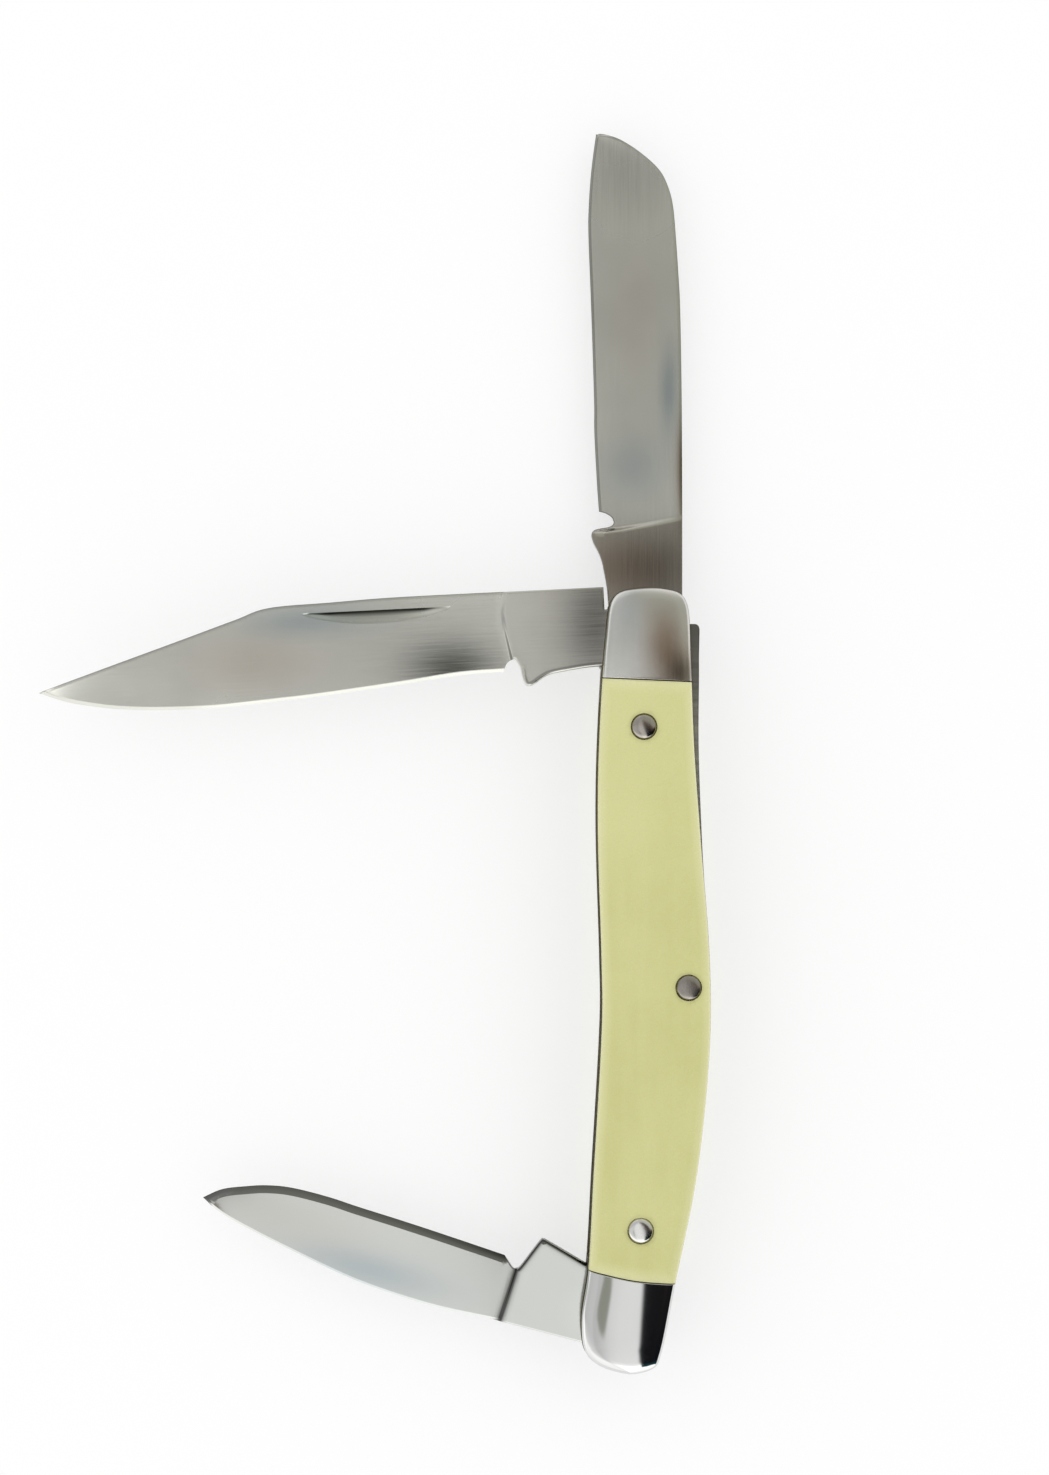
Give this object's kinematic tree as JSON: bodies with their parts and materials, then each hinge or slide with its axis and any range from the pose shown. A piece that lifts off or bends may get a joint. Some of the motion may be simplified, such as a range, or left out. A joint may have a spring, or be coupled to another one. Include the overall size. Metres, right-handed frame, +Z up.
{
  "type": "folding pocket knife",
  "caption": "Folding pocket knife with a clip, a sheepsfoot and a pen blade, each on its own back spring, in a smooth covered handle with metal bolsters.",
  "frame": {"origin": "middle of the flat on the back cover that the knife lies on", "axes": "+Y along the handle to the end that holds two blades, +X to the back of the handle where the springs lie, +Z up through the thickness to the front cover"},
  "size_m": [0.0765, 0.1415, 0.013],
  "materials": {
    "cover": "smooth, moulded, pale greenish yellow, polished",
    "nickel_silver": "nickel silver, polished bright",
    "brass": "sheared sheet, dulled edges",
    "spring_steel": "ground, with file marks on the back",
    "blade_steel": "satin, brushed along the blade"
  },
  "bodies": {
    "handle": {"back_cover": "cover", "back_top_bolster": "nickel_silver", "back_bottom_bolster": "nickel_silver", "back_liner": "brass", "back_top_cover_pin": "nickel_silver", "back_bottom_cover_pin": "nickel_silver", "front_cover": "cover", "front_top_bolster": "nickel_silver", "front_bottom_bolster": "nickel_silver", "front_liner": "brass", "front_top_cover_pin": "nickel_silver", "front_bottom_cover_pin": "nickel_silver", "rear_divider": "brass", "front_divider": "brass", "top_pivot_pin": "nickel_silver", "bottom_pivot_pin": "nickel_silver", "spring_pin": "nickel_silver", "clip_spring": "spring_steel", "sheepsfoot_spring": "spring_steel", "pen_spring": "spring_steel"},
    "clip_blade": {"clip_blade": "blade_steel"},
    "sheepsfoot_blade": {"sheepsfoot_blade": "blade_steel"},
    "pen_blade": {"pen_blade": "blade_steel"}
  },
  "joints": [
    {"name": "clip_pivot", "type": "hinge", "parent": "handle", "child": "clip_blade", "pos_m": [-0.002, 0.0379, 0.0089], "axis": [0, 0, 1], "range_deg": [-92.8, 86.2], "deforming": ["clip_spring"]},
    {"name": "sheepsfoot_pivot", "type": "hinge", "parent": "handle", "child": "sheepsfoot_blade", "pos_m": [-0.002, 0.0379, 0.0041], "axis": [0, 0, 1], "range_deg": [0, 177]},
    {"name": "pen_pivot", "type": "hinge", "parent": "handle", "child": "pen_blade", "pos_m": [-0.0034, -0.0375, 0.0065], "axis": [0, 0, 1], "range_deg": [-75, 95.5]}
  ]
}
